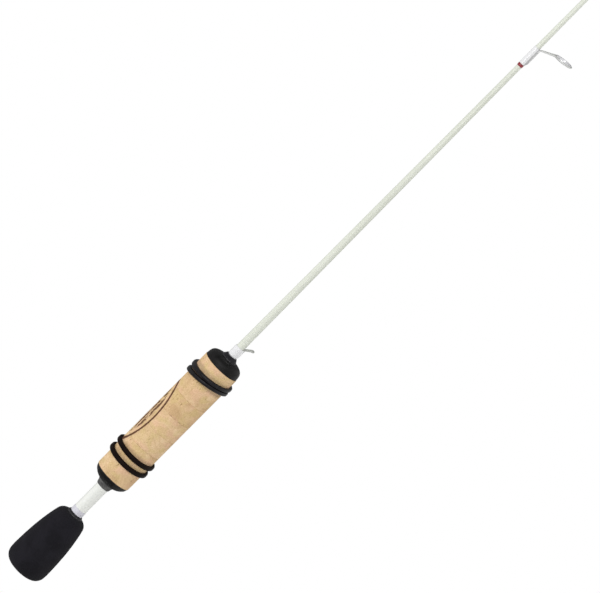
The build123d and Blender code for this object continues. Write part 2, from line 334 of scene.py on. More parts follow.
def thread_turns(graph: Graph, place: Value, turns: Value) -> Sequence[Value]:
    """Build the close turns of a thread wound round the rod.

    Args:
        graph: The group's graph.
        place: Where to read it.
        turns: Turns per metre.

    Returns:
        Height, a Groove mask that the finishes use for painted shade between turns, and a Tone that differs from
        turn to turn.
    """
    x, y, z = graph.axes(place)
    count = x * turns + graph.math("ARCTAN2", y, z) * (1 / FULL_TURN)
    height = abs(graph.math("SINE", count * math.pi))
    fuzz = graph.noise(place, 2600.0, 3.0, 0.6)
    tone = graph.random(graph.math("FLOOR", count)) * 0.6 + fuzz * 0.4
    return height, graph.between(height, 0.55, 0.05), tone


def handling(graph: Graph, place: Value, scale: Value) -> Sequence[Value]:
    """Return Smudge and Scratch masks, as left by handling."""
    scratch = graph.noise(graph.mapping(place, (90.0, 2400.0, 2400.0)), 1.0, 3.0, 0.7, 0.8)
    smear = graph.noise(place, scale, 3.0, 0.55, 1.2)
    return graph.between(smear, 0.35, 0.7), graph.between(scratch, 0.62, 0.72)


def around_rod(graph: Graph, place: Value, girth: Value) -> Sequence[Value]:
    """Unroll a place on the rod into a flat one.

    Args:
        graph: The group's graph.
        place: The place.
        girth: Radius that arcs are measured at.

    Returns:
        Along the rod and Arc from its top in metres, and how far it faces Below, up to 1.
    """
    x, y, z = graph.axes(place)
    radius = graph.math("SQRT", y * y + z * z)
    below = (z * -1.0) / graph.math("MAXIMUM", radius, 1e-5)
    return x, graph.math("ARCTAN2", y, z) * girth, below


EFFECT_MAKERS: dict[Effect, Callable[..., Sequence[Value]]] = {
    Effect.GRAIN: grain,
    Effect.EDGE_WEAR: edge_wear,
    Effect.THREAD_TURNS: thread_turns,
    Effect.HANDLING: handling,
    Effect.AROUND_ROD: around_rod,
}


# ------------------------------------------------------------------ finishes


@dataclass(frozen=True)
class Finish:
    """A surface finish that makes its own material."""

    name: str
    slot: Slot

    def material(self) -> bpy.types.Material:
        """Make the finish's material, once.

        Returns:
            The material.
        """
        if self.name in bpy.data.materials:
            return bpy.data.materials[self.name]
        made = bpy.data.materials.new(self.name)
        made.use_nodes = True
        made.node_tree.nodes.clear()
        graph = Graph(made.node_tree)
        shader = graph.node("BsdfPrincipled")
        graph.fill(graph.node("OutputMaterial"), Surface=graph.fill(shader, **self.paint(graph)))
        return made

    def paint(self, graph: Graph) -> Look:
        """Wire up the finish in a material's graph and return the shader's inputs by name."""
        raise NotImplementedError


@dataclass(frozen=True)
class CorkFinish(Finish):
    """Sanded cork rings with pores, flecks, glue lines and a burned ornament."""

    ring_start: float = 80.6
    ring_length: float = 92.2 / 7
    girth: float = 12.05
    tones: tuple = (
        (0.0, (190, 156, 112)), (0.4, (212, 180, 136)), (0.7, (222, 188, 146)), (1.0, (234, 206, 164)),
    )
    patches: tuple = (((226, 180, 150), 135.0, (0, 0, 0)), ((204, 180, 118), 150.0, (3.1, 1.7, 0.4)))
    speckle: tuple = ((0.0, (174, 140, 102)), (0.5, (216, 184, 142)), (1.0, (240, 214, 176)))
    ring_tones: tuple = ((0.0, (196, 156, 112)), (1.0, (240, 218, 180)))
    pore: tuple = (136, 92, 58)
    glue: tuple = (150, 106, 70)
    char: tuple = ((0.3, (52, 22, 12)), (0.7, (92, 46, 26)))
    # Dark tone by the reel rings: rub marks and painted shade.
    rubbed_and_painted_light: tuple = (46, 36, 34)
    # Where rubber rings rest: place, half width, softness, lean and depth of each dark band, partly rub marks and
    # partly painted shade by the rings; the last, deepest band is painted shade in the gap between rings 3 and 4.
    rub_and_shade_bands: tuple = (
        (93.8, 2.6, 1.2, 0.0, 0.31),
        (99.9, 2.6, 1.2, 0.0, 0.31),
        (163.1, 4.6, 1.2, 0.0, 0.31),
        (162.6, 1.3, 0.5, 0.125, 0.93),
    )
    oval_centre: float = 125.2
    oval_half_length: float = 24.6
    oval_half_width: float = 11.15
    oval_line: float = 0.62
    ripple_length: float = 3.3
    ripple_height: float = 0.22
    bar_spacing: float = 3.6

    def paint(self, graph: Graph) -> Look:
        """Wire up the cork.

        Args:
            graph: The material's graph.

        Returns:
            Inputs of the shader by name.
        """
        place = graph.place()
        along, arc, _ = graph.group(Effect.AROUND_ROD, place, self.girth * MM)
        rings = (along - self.ring_start * MM) / (self.ring_length * MM)
        index = graph.math("FLOOR", rings)
        tint = graph.random(index)
        shift = graph.add("CombineXYZ", index * 0.37, index * 0.21, 0.0)
        local = graph.add("VectorMath", place, shift, operation="ADD")
        fine, _ = graph.group(Effect.GRAIN, local, 2100.0, 170.0)
        colour = graph.ramp(graph.between(graph.noise(local, 95.0, 3.0, 0.55, 0.6), 0.3, 0.7), *self.tones)
        for tone, scale, offset in self.patches:
            patch = graph.noise(graph.mapping(local, (1, 1, 1), offset), scale, 1.5, 0.4, 0.5)
            colour = graph.mix(graph.between(patch, 0.46, 0.68, 0.0, 0.75), colour, tone)
        colour = graph.mix(0.36, colour, graph.ramp(graph.between(fine, 0.1, 0.9), *self.speckle))
        colour = graph.mix(abs((tint - 0.5) * 0.22), colour, graph.ramp(tint, *self.ring_tones))
        # Dark lenticels run across each ring; small round pores lie between them.
        ragged = (graph.noise(local, 1500.0, 3.0, 0.7) - 0.5) * 0.35
        streaks = graph.cells(graph.mapping(local, (190.0, 620.0, 620.0)), 1.0)
        keep = graph.between(graph.noise(local, 150.0, 2.0, 0.5), 0.46, 0.56)
        streak = graph.between(streaks + ragged, 0.2, 0.09) * keep
        keep = graph.between(graph.noise(local, 330.0, 2.0, 0.5), 0.5, 0.62)
        hole = graph.between(graph.cells(local, 520.0) + ragged, 0.16, 0.05) * keep
        pit = graph.math("MAXIMUM", streak, hole, clamp=True)
        colour = graph.mix(pit * 0.62, colour, self.pore)
        near = abs(graph.math("FRACT", rings + 0.5) - 0.5)
        keep = graph.between(graph.noise(local, 600.0, 2.0, 0.5), 0.42, 0.6)
        seam = graph.between(near, 0.02, 0.004) * keep
        colour = graph.mix(seam * 0.1, colour, self.glue)
        # Darken the cork by the rings: rub marks and painted shade, deepest in the gap between rings 3 and 4.
        colour = graph.mix(self.rub_and_shade_marks(graph, along, local), colour, self.rubbed_and_painted_light)
        burn = self.ornament(graph, along, arc, local)
        colour = graph.mix(burn, colour, graph.ramp(graph.noise(local, 900.0, 3.0, 0.6), *self.char))
        fall = graph.math("MAXIMUM", pit, graph.math("MAXIMUM", burn * 0.8, seam * 0.12))
        return dict(
            Base_Color=colour,
            Roughness=graph.scaled(fine, 0.72, 0.92),
            Specular_IOR_Level=0.28,
            Normal=graph.bump(fine * 0.35 - fall, 0.16, 0.75),
        )

    def rub_and_shade_marks(self, graph: Graph, along: Value, local: Value) -> Value:
        """Mark the dark bands where rubber rings rest: partly the smears they leave, partly painted shade beside
        them and in the gap between rings 3 and 4.

        Args:
            graph: The material's graph.
            along: Place along the rod.
            local: Vector for the smears' uneven edge.

        Returns:
            The mask.
        """
        waver = (graph.noise(local, 300.0, 3.0, 0.6) - 0.5) * (2.4 * MM)
        height = graph.axes(local)[2]
        mask: Feed = 0.0
        for rest, reach, soft, lean, depth in self.rub_and_shade_bands:
            near = abs(height * lean + along + waver - rest * MM)
            band = graph.between(near, (reach + soft) * MM, (reach - soft) * MM, 0.0, depth)
            mask = graph.math("MAXIMUM", mask, band)
        return mask

    def ornament(self, graph: Graph, along: Value, arc: Value, local: Value) -> Value:
        """Mark the burned ornament: an oval line round five bars of water ripples.

        Args:
            graph: The material's graph.
            along: Place along the rod.
            arc: Distance round the rod from its top.
            local: Vector for the line's uneven edge.

        Returns:
            The mask.
        """
        waver = (graph.noise(local, 700.0, 3.0, 0.6) - 0.5) * (0.5 * MM)
        u = along - self.oval_centre * MM
        far = u * (1 / (self.oval_half_length * MM))
        wide = arc * (1 / (self.oval_half_width * MM))
        reach = graph.math("SQRT", far * far + wide * wide)
        line = abs((reach - 1.0) * (self.oval_half_width * MM) + waver)
        oval = graph.between(line, (self.oval_line + 0.14) * MM, (self.oval_line - 0.14) * MM, 0.0, 0.92)
        ripple = graph.math("SINE", u * (FULL_TURN / (self.ripple_length * MM))) * (self.ripple_height * MM)
        row = graph.math("FRACT", (arc + ripple + waver) / (self.bar_spacing * MM) + 0.5) - 0.5
        bar = graph.between(abs(row), 0.38, 0.3)
        within = graph.between(reach, 0.8, 0.77) * graph.between(abs(arc), 8.2 * MM, 7.9 * MM)
        broken = graph.noise(graph.mapping(local, (210.0, 480.0, 480.0)), 1.0, 1.5, 0.5)
        bars = bar * within * (graph.between(broken, 0.41, 0.44, 0.06, 1.0) * 0.88)
        return graph.math("MAXIMUM", oval, bars, clamp=True)


@dataclass(frozen=True)
class FoamFinish(Finish):
    """Matt black closed-cell foam."""

    dark: tuple = (22, 21, 25)
    pale: tuple = (31, 30, 35)
    dust: tuple = (38, 38, 42)
    # Lighter edge tone: worn edges and a painted edge highlight.
    rubbed_and_painted_light: tuple = (52, 52, 56)

    def paint(self, graph: Graph) -> Look:
        """Wire up the foam.

        Args:
            graph: The material's graph.

        Returns:
            Inputs of the shader by name.
        """
        place = graph.place()
        fine, broad = graph.group(Effect.GRAIN, place, 2600.0, 110.0)
        (wear_and_highlight_mask,) = graph.group(Effect.EDGE_WEAR, place, 600.0, 0.35)
        colour = graph.mix(broad, self.dark, self.pale)
        colour = graph.mix(fine * 0.3, colour, self.dust)
        pore = graph.between(graph.cells(place, 2300.0), 0.05, 0.6)
        return dict(
            # Lighter edges: wear and a painted edge highlight.
            Base_Color=graph.mix(wear_and_highlight_mask, colour, self.rubbed_and_painted_light),
            Roughness=graph.scaled(broad, 0.82, 0.95),
            Specular_IOR_Level=0.06,
            Sheen_Weight=0.02,
            Sheen_Roughness=0.6,
            Normal=graph.bump(pore * 0.7 + fine * 0.4, 0.10, 0.8),
        )


@dataclass(frozen=True)
class RubberFinish(Finish):
    """Moulded rubber with a soft gloss, faint dust, and lighter rubbed edges that are partly wear and partly a
    painted edge highlight.
    """

    dark: tuple
    pale: tuple
    gloss: float
    specular: float
    dust: tuple = (58, 56, 58)
    # Lighter edge tone: worn edges and a painted edge highlight.
    rubbed_and_painted_light: tuple = (70, 68, 70)

    def paint(self, graph: Graph) -> Look:
        """Wire up the rubber.

        Args:
            graph: The material's graph.

        Returns:
            Inputs of the shader by name.
        """
        place = graph.place()
        fine, broad = graph.group(Effect.GRAIN, place, 3300.0, 260.0)
        smudge, scratch = graph.group(Effect.HANDLING, place, 180.0)
        (wear_and_highlight_mask,) = graph.group(Effect.EDGE_WEAR, place, 1300.0, 0.5)
        colour = graph.mix(broad, self.dark, self.pale)
        colour = graph.mix(smudge * 0.18, colour, self.dust)
        return dict(
            # Lighter edges: wear and a painted edge highlight.
            Base_Color=graph.mix(wear_and_highlight_mask, colour, self.rubbed_and_painted_light),
            Roughness=graph.scaled(fine, self.gloss - 0.06, self.gloss + 0.08) + smudge * 0.12,
            Specular_IOR_Level=self.specular,
            Normal=graph.bump(fine * 0.6 - scratch * 0.4, 0.035, 0.6),
        )


@dataclass(frozen=True)
class GlassFibreFinish(Finish):
    """Pale glass fibre: long fibres under a clear coat."""

    base: tuple = (214, 217, 205)
    pale: tuple = (224, 227, 216)
    deep: tuple = (202, 206, 193)
    fibres: float = 1500.0
    scatter: float = 0.1

    def paint(self, graph: Graph) -> Look:
        """Wire up the glass fibre.

        Args:
            graph: The material's graph.

        Returns:
            Inputs of the shader by name.
        """
        place = graph.place()
        strand = graph.noise(graph.mapping(place, (14.0, self.fibres, self.fibres)), 1.0, 5.0, 0.65, 0.15)
        wide = graph.noise(graph.mapping(place, (12.0, 380.0, 380.0)), 1.0, 3.0, 0.5, 0.3)
        _, broad = graph.group(Effect.GRAIN, place, 2400.0, 55.0)
        smudge, scratch = graph.group(Effect.HANDLING, place, 90.0)
        colour = graph.mix(graph.between(strand, 0.25, 0.75), self.deep, self.pale)
        colour = graph.mix(0.45, colour, graph.mix(graph.between(wide, 0.35, 0.65), self.base, self.pale))
        return dict(
            Base_Color=graph.mix(broad * 0.15, colour, self.deep),
            Roughness=graph.scaled(smudge, 0.28, 0.46),
            Specular_IOR_Level=0.4,
            Subsurface_Weight=self.scatter,
            Subsurface_Radius=(1.0, 1.0, 0.85),
            Subsurface_Scale=1.2 * MM,
            Coat_Weight=0.35,
            Coat_Roughness=0.2,
            Normal=graph.bump(strand * 0.8 - scratch * 0.3, 0.005, 0.4),
        )


@dataclass(frozen=True)
class ThreadFinish(Finish):
    """Wound thread under a clear coat, greyer towards its underside, partly where metal lies below it and partly as
    painted shade.
    """

    thread: tuple = (234, 234, 235)
    # Darker thread tone, also the painted shade colour in the grooves between turns.
    groove: tuple = (204, 205, 208)
    # Grey of the underside: metal under the thread and painted shade.
    over_metal_and_shade: tuple = (166, 166, 167)
    metal_and_shade_share: float = 0.0

    def paint(self, graph: Graph) -> Look:
        """Wire up the wrap.

        Args:
            graph: The material's graph.

        Returns:
            Inputs of the shader by name.
        """
        place = graph.place()
        height, groove, tone = graph.group(Effect.THREAD_TURNS, place, 4200.0)
        below = graph.group(Effect.AROUND_ROD, place)[2]
        smudge, _ = graph.group(Effect.HANDLING, place, 260.0)
        colour = graph.mix(tone * 0.22, self.thread, self.groove)
        # Painted shade in the grooves between turns.
        colour = graph.mix(groove * 0.3, colour, self.groove)
        return dict(
            # Greyer towards the underside: metal showing through and painted shade.
            Base_Color=graph.mix(graph.between(below, 0.55, 0.86, 0.0, self.metal_and_shade_share), colour, self.over_metal_and_shade),
            Roughness=graph.scaled(smudge, 0.24, 0.42),
            Specular_IOR_Level=0.4,
            Coat_Weight=0.8,
            Coat_Roughness=0.08,
            Normal=graph.bump(height, 0.02, 0.5),
        )


@dataclass(frozen=True)
class SteelFinish(Finish):
    """Polished wire with fine drawing lines and dull smudges."""

    bright: tuple = (232, 233, 231)
    dull: tuple = (204, 205, 202)
    gloss: float = 0.5
    metal: float = 0.8
    # Lighter edge tone: worn edges and a painted edge highlight.
    rubbed_and_painted_light: tuple = (236, 236, 238)

    def paint(self, graph: Graph) -> Look:
        """Wire up the steel.

        Args:
            graph: The material's graph.

        Returns:
            Inputs of the shader by name.
        """
        place = graph.place()
        fine, broad = graph.group(Effect.GRAIN, place, 5200.0, 700.0)
        smudge, _ = graph.group(Effect.HANDLING, place, 420.0)
        (wear_and_highlight_mask,) = graph.group(Effect.EDGE_WEAR, place, 1800.0, 0.5)
        return dict(
            # Lighter edges: wear and a painted edge highlight; duller patches from handling.
            Base_Color=graph.mix(wear_and_highlight_mask, graph.mix(smudge * 0.55, self.bright, self.dull), self.rubbed_and_painted_light),
            Metallic=self.metal,
            Roughness=graph.scaled(fine, self.gloss - 0.05, self.gloss + 0.1) + smudge * 0.12,
            Normal=graph.bump(broad * 0.5 + fine * 0.2, 0.02, 0.35),
        )


@dataclass(frozen=True)
class PlasticFinish(Finish):
    """Smooth moulded or painted trim."""

    base: tuple
    other: tuple
    gloss: float
    specular: float
    # Edge tone: worn edges, and on the dark trims also a painted edge highlight.
    rubbed_and_painted_light: tuple = (150, 150, 152)

    def paint(self, graph: Graph) -> Look:
        """Wire up the plastic.

        Args:
            graph: The material's graph.

        Returns:
            Inputs of the shader by name.
        """
        place = graph.place()
        fine, broad = graph.group(Effect.GRAIN, place, 3300.0, 330.0)
        smudge, scratch = graph.group(Effect.HANDLING, place, 240.0)
        (wear_and_highlight_mask,) = graph.group(Effect.EDGE_WEAR, place, 1500.0, 0.4)
        return dict(
            # Edges take the edge tone: wear, and on the dark trims a painted edge highlight.
            Base_Color=graph.mix(wear_and_highlight_mask, graph.mix(broad, self.base, self.other), self.rubbed_and_painted_light),
            Roughness=graph.scaled(smudge, self.gloss - 0.06, self.gloss + 0.12),
            Specular_IOR_Level=self.specular,
            Normal=graph.bump(fine * 0.4 - scratch * 0.5, 0.02, 0.5),
        )


@dataclass(frozen=True)
class FloorFinish(Finish):
    """Pale studio floor with a faint mottling."""

    def paint(self, graph: Graph) -> Look:
        """Wire up the floor.

        Args:
            graph: The material's graph.

        Returns:
            Inputs of the shader by name.
        """
        fine, broad = graph.group(Effect.GRAIN, graph.place(), 300.0, 6.0)
        return dict(
            Base_Color=graph.mix(broad, (243, 243, 242), (245, 245, 244)),
            Roughness=graph.scaled(fine, 0.7, 0.85),
            Normal=graph.bump(fine, 0.2, 0.2),
        )


CORK = CorkFinish("sanded_cork", Slot.CORK)
FOAM = FoamFinish("butt_foam", Slot.FOAM)
CAP_RUBBER = RubberFinish("cap_rubber", Slot.BLACK_RUBBER, (7, 7, 7), (15, 15, 14), 0.42, 0.17)
RING_RUBBER_WARM = RubberFinish(
    "reel_ring_rubber_warm", Slot.RING_RUBBER, (9, 4, 3), (18, 8, 6), 0.5, 0.08, (44, 28, 24), (52, 34, 30)
)
RING_RUBBER_COOL = RubberFinish(
    "reel_ring_rubber_cool", Slot.RING_RUBBER, (7, 6, 8), (17, 15, 20), 0.34, 0.22
)
TRIM_BLACK = PlasticFinish("black_trim_satin", Slot.BLACK_TRIM, (13, 12, 16), (24, 23, 28), 0.42, 0.22)
# Rear check: greyer than the other black trim, partly its own tone and partly a painted highlight.
GREY_CHECK_AND_HIGHLIGHT = PlasticFinish("worn_black_check", Slot.BLACK_TRIM, (72, 72, 72), (98, 98, 96), 0.5, 0.3)
PALE_BAND = PlasticFinish("lavender_band_gloss", Slot.PALE_BAND, (200, 199, 208), (214, 213, 221), 0.3, 0.4)
BLANK_FIBRE = GlassFibreFinish("blank_glass_fibre", Slot.FIBREGLASS)
TUBE_FIBRE = GlassFibreFinish(
    "handle_tube_fibre", Slot.TUBE, (229, 231, 226), (236, 237, 233), (223, 225, 219), 900.0, 0.04
)
WHITE_WRAP = ThreadFinish("white_wrap", Slot.WHITE_THREAD)
GUIDE_WRAP = ThreadFinish("guide_foot_wrap", Slot.WHITE_THREAD, metal_and_shade_share=0.85)
RED_WRAP = ThreadFinish("red_wrap", Slot.RED_THREAD, (140, 14, 32), (84, 8, 20), (84, 8, 20))
WIRE_STEEL = SteelFinish("guide_wire_steel", Slot.STEEL)
KEEPER_STEEL = SteelFinish(
    "keeper_wire_steel", Slot.STEEL, (190, 192, 187), (166, 168, 163), 0.6, 0.55, (198, 200, 196)
)
RING_STEEL = SteelFinish("ring_insert_steel", Slot.INSERT, (246, 246, 248), (214, 214, 218), 0.32, 0.6)


# ----------------------------------------------------------------- modelling


def take(*pieces: Piece) -> None:
    """Leave edit mode and select nothing but the given pieces.

    Args:
        *pieces: The pieces; the first becomes active.
    """
    if bpy.context.object and bpy.context.object.mode != "OBJECT":
        bpy.ops.object.mode_set(mode="OBJECT")
    bpy.ops.object.select_all(action="DESELECT")
    for piece in reversed(pieces):
        piece.select_set(True)
        bpy.context.view_layer.objects.active = piece


@contextmanager
def editing() -> Iterator[None]:
    """Work in edit mode on all of the active mesh.

    Yields:
        Nothing.
    """
    bpy.ops.object.mode_set(mode="EDIT")
    bpy.ops.mesh.select_all(action="SELECT")
    yield
    bpy.ops.object.mode_set(mode="OBJECT")


def settle(obj: Piece, name: str, smooth: float = 35.0) -> Piece:
    """Name a piece, put its place into its mesh, and smooth its shading.

    Args:
        obj: The piece.
        name: Its name.
        smooth: Angle in degrees above which an edge stays sharp.

    Returns:
        The piece.
    """
    take(obj)
    bpy.ops.object.transform_apply(location=True, rotation=True, scale=True)
    bpy.ops.object.shade_smooth_by_angle(angle=math.radians(smooth))
    obj.name = obj.data.name = name
    return obj


def mend(obj: Piece) -> Piece:
    """Merge doubled vertices and turn every face outwards.

    Args:
        obj: The piece.

    Returns:
        The piece.
    """
    take(obj)
    with editing():
        bpy.ops.mesh.remove_doubles(threshold=0.002 * MM)
        bpy.ops.mesh.normals_make_consistent(inside=False)
    return obj


def turn(name: str, outline: Sequence[Pair], steps: int, smooth: float = 35.0) -> Piece:
    """Turn a piece on the rod's axis: draw its outline point by point, then spin it.

    Args:
        name: Name of the piece.
        outline: Pairs of place along the rod and radius, in millimetres, closed or ending on the axis.
        steps: Number of steps round the axis.
        smooth: Angle in degrees above which an edge stays sharp.

    Returns:
        The turned piece.
    """
    take()
    x0, r0 = outline[0]
    bpy.ops.mesh.primitive_plane_add(size=MM, location=(x0 * MM, 0.0, r0 * MM))
    obj = bpy.context.object
    bpy.ops.object.transform_apply(location=True, rotation=True, scale=True)
    with editing():
        bpy.ops.mesh.merge(type="CENTER")
        for (xa, ra), (xb, rb) in zip(outline, outline[1:]):
            step = ((xb - xa) * MM, 0.0, (rb - ra) * MM)
            bpy.ops.mesh.extrude_vertices_move(TRANSFORM_OT_translate={"value": step})
        bpy.ops.mesh.select_all(action="SELECT")
        bpy.ops.mesh.spin(steps=steps, angle=FULL_TURN, center=(0, 0, 0), axis=(1, 0, 0))
    return settle(mend(obj), name, smooth)


def modify(obj: Piece, kind: str, **settings: object) -> None:
    """Apply a modifier to a piece.

    Args:
        obj: The piece.
        kind: Kind of modifier.
        **settings: Its properties.
    """
    take(obj)
    made = obj.modifiers.new(kind, kind)
    for key, value in settings.items():
        setattr(made, key, value)
    bpy.ops.object.modifier_apply(modifier=made.name)


def round_edges(obj: Piece, width: float) -> Piece:
    """Round a piece's sharp edges to a width in millimetres."""
    modify(obj, "BEVEL", width=width * MM, segments=3, limit_method="ANGLE", angle_limit=math.radians(32.0))
    return settle(obj, obj.name, 40.0)


def dent(obj: Piece, depth: float, size: float, low: float, high: float) -> None:
    """Press uneven pits into a piece with an applied Displace.

    Args:
        obj: The piece.
        depth: Depth of the deepest pits in millimetres.
        size: Size of the pattern in millimetres.
        low: Cloud value where pits are deepest.
        high: Cloud value where the surface is whole again.
    """
    pattern = bpy.data.textures.new(obj.name + "_pits", "CLOUDS")
    pattern.noise_scale = size * MM
    pattern.noise_depth = 3
    pattern.use_color_ramp = True
    stops = pattern.color_ramp.elements
    stops[0].position, stops[0].color = low, (0, 0, 0, 1)
    stops[1].position, stops[1].color = high, (1, 1, 1, 1)
    modify(obj, "DISPLACE", texture=pattern, texture_coords="LOCAL", mid_level=1.0, strength=depth * MM)


def bend_wire(path: Sequence[Sequence[float]], radius: float, closed: bool = False) -> Piece:
    """Bend a round wire along a path.

    Args:
        path: Points in millimetres.
        radius: Wire radius in millimetres.
        closed: Whether the wire's ends meet.

    Returns:
        The wire as a mesh.
    """
    take()
    bpy.ops.curve.primitive_nurbs_path_add(location=(0, 0, 0))
    curve = bpy.context.object.data
    curve.splines.clear()
    spline = curve.splines.new("NURBS")
    spline.points.add(len(path) - 1)
    for point, where in zip(spline.points, path):
        point.co = (*(c * MM for c in where), 1.0)
    spline.order_u = 4
    spline.use_cyclic_u = closed
    spline.use_endpoint_u = not closed
    spline.resolution_u = 6
    curve.use_path = False
    curve.bevel_depth = radius * MM
    curve.bevel_resolution = 5
    curve.use_fill_caps = not closed
    bpy.ops.object.convert(target="MESH")
    return settle(mend(bpy.context.object), "wire")


def weld(parts: Sequence[Piece], node: str, voxel: float, passes: int) -> None:
    """Join overlapping wires into one skin with soft solder fillets, and place it.

    Args:
        parts: The wires.
        node: CAD node the frame stands for.
        voxel: Voxel size in millimetres.
        passes: Smoothing passes.
    """
    take(*parts)
    bpy.ops.object.join()
    whole = settle(bpy.context.object, f"{node}_wire")
    modify(whole, "REMESH", mode="VOXEL", voxel_size=voxel * MM, use_smooth_shade=True)
    modify(whole, "SMOOTH", factor=0.5, iterations=passes)
    place_piece(settle(whole, whole.name, 60.0), WIRE_STEEL, node)


def reshape(obj: Piece, move: Callable[[Vector], Vector]) -> Piece:
    """Move every vertex of a piece by a rule.

    Args:
        obj: The piece.
        move: Rule from an old place to a new one, in metres.

    Returns:
        The piece.
    """
    for vertex in obj.data.vertices:
        vertex.co = move(vertex.co)
    obj.data.update()
    return obj


def place_piece(obj: Piece, finish: Finish, node: str, body: Body = Body.ROD) -> None:
    """Dress a piece, put it on its body, and let it stand for its CAD node.

    Args:
        obj: The piece.
        finish: Its finish.
        node: CAD node it stands for.
        body: Body it rides on.
    """
    obj.data.materials.clear()
    obj.data.materials.append(finish.material())
    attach(obj, body.value)
    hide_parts(node)
    LOG.info("piece %s: %d faces", obj.name, len(obj.data.polygons))


def turn_part(
    node: str, shape: str, finish: Finish, steps: int, edge: float, outline: Sequence[Pair]
) -> None:
    """Turn a small part, round its edges and place it.

    Args:
        node: CAD node it stands for.
        shape: Word for its shape, the end of its name.
        finish: Its finish.
        steps: Number of steps round the axis.
        edge: Width of its rounded edges.
        outline: Its outline, closed with a straight line.
    """
    part = turn(f"{node}_{shape}", [*outline, outline[0]], steps)
    place_piece(round_edges(part, edge), finish, node)


def ring_insert(
    node: str, size: Sequence[float], steps: int, x: float, drop: float, lean: float = 0.0
) -> None:
    """Make a polished ring insert with rounded lips each side of its land.

    Args:
        node: CAD node it stands for.
        size: Outer radius, wall, width, and length of the straight land in its bore.
        steps: Number of steps round its axis.
        x: Place of its centre along the rod.
        drop: Distance of its centre below the rod's axis.
        lean: Lean in degrees.
    """
    outer, wall, width, land = size
    inner, curl, half, flat = outer - wall, wall * 0.55, width / 2, land / 2
    turns = [math.radians(t) for t in range(0, 91, 15)]
    lip = [(flat + (half - flat) * math.sin(t), inner + curl * (1 - math.cos(t))) for t in turns]
    side = lip + [(half, outer - 0.12), (half - 0.05, outer - 0.03), (half - 0.14, outer)]
    mirrored = [(-place, r) for place, r in reversed(side)]
    insert = turn(f"{node}_insert", [*side, *mirrored, lip[0]], steps, 50.0)
    tilt = Matrix.Rotation(math.radians(-lean), 4, "Y")
    insert.data.transform(Matrix.Translation((x * MM, 0, -drop * MM)) @ tilt)
    place_piece(insert, RING_STEEL, node)


def spread(start: float, end: float, count: int) -> list[float]:
    """Return places evenly spread over a number of steps."""
    return [start + (end - start) * i / count for i in range(count + 1)]


def quarter(x: float, r: float, radius: float, start: float) -> list[Pair]:
    """Return a quarter round of an outline about a centre, from an angle in degrees."""
    turns = [math.radians(start + 15 * i) for i in range(7)]
    return [(x + radius * math.cos(t), r + radius * math.sin(t)) for t in turns]


def flow(points: Sequence[Pair], steps: int) -> list[Pair]:
    """Run a smooth curve through outline points.

    Args:
        points: Points of the outline.
        steps: Steps in each span.

    Returns:
        The curve's points.
    """
    ends = [points[0], *points, points[-1]]
    curve: list[Pair] = []
    for a, b, c, d in zip(ends, ends[1:], ends[2:], ends[3:]):
        for t in (i / steps for i in range(steps)):
            x, r = (
                0.5 * (2 * q + (s - p) * t + (2 * p - 5 * q + 4 * s - e) * t * t + (3 * q - p - 3 * s + e) * t ** 3)
                for p, q, s, e in zip(a, b, c, d)
            )
            curve.append((x, r))
    return [*curve, points[-1]]


# -------------------------------------------------------------- sub-assemblies


@dataclass
class ButtEnd:
    """Foam knob at the rear, with its collar and pale band."""

    outside: tuple[Pair, ...] = (
        (0.02, 0.0), (0.02, 4.0), (0.1, 6.6), (0.6, 8.9), (1.5, 10.7), (2.7, 12.0), (4.1, 12.9), (6.0, 13.45),
        (8.6, 13.66), (12.5, 13.58), (20.0, 13.28), (28.0, 12.65), (36.0, 11.58), (41.5, 10.5),
    )
    shoulder: tuple[Pair, ...] = (
        (41.5, 10.5), (43.5, 10.0), (44.8, 9.35), (45.8, 8.45), (46.45, 7.45), (46.85, 6.5), (47.0, 5.8),
    )
    bore: float = 4.1
    bore_start: float = 20.0
    collar: tuple[Pair, ...] = (
        (47.0, 4.1), (48.6, 4.1), (48.6, 4.6), (48.1, 5.0), (47.55, 5.42), (47.0, 5.5),
    )
    band: tuple[Pair, ...] = (
        (48.6, 4.1), (52.2, 4.1), (52.2, 4.16), (51.6, 4.24), (50.6, 4.28), (48.9, 4.28), (48.6, 4.24),
    )

    def build(self) -> None:
        """Make the knob, the collar and the band."""
        outline = flow(self.outside, 5)[:-1] + flow(self.shoulder, 4)
        outline += [(47.0, self.bore), (self.bore_start, self.bore), (self.bore_start, 0.0)]
        knob = turn("butt_knob_foam", outline, 128, 40.0)
        dent(knob, 0.05, 2.4, 0.35, 0.6)
        place_piece(knob, FOAM, "butt_knob")
        turn_part("butt_collar", "ring", TRIM_BLACK, 64, 0.12, self.collar)
        turn_part("butt_trim", "band", PALE_BAND, 64, 0.03, self.band)


@dataclass
class Shaft:
    """Tapered solid blank and the short tube that carries the grip."""

    stations: tuple[Pair, ...] = (
        (24.0, 2.58), (190.0, 2.56), (254.0, 2.32), (364.0, 1.86), (440.0, 1.61), (655.0, 0.6),
    )
    tube: Pair = (20.5, 177.8)
    tube_radius: float = 4.05
    tube_bore: float = 2.63

    def radius(self, x: float) -> float:
        """Give the blank's radius at a place.

        Args:
            x: Place along the rod in millimetres.

        Returns:
            Radius in millimetres.
        """
        for (xa, ra), (xb, rb) in zip(self.stations, self.stations[1:]):
            if x <= xb:
                return ra + (rb - ra) * max(x - xa, 0.0) / (xb - xa)
        return self.stations[-1][1]

    def build(self) -> None:
        """Make the blank and the tube."""
        first, last = self.stations[0][0], self.stations[-1][0]
        outline = [(first, 0.0), *((x, self.radius(x)) for x in spread(first, last - 0.3, 150))]
        outline += [(last, self.radius(last) * 0.6), (last, 0.0)]
        place_piece(turn("blank_shaft", outline, 48), BLANK_FIBRE, "blank")
        (a, b), bore = self.tube, self.tube_bore
        outline = [(a, bore), *((x, self.tube_radius) for x in spread(a, b, 60)), (b, bore), (a, bore)]
        place_piece(turn("handle_tube_sleeve", outline, 72), TUBE_FIBRE, "handle_tube")


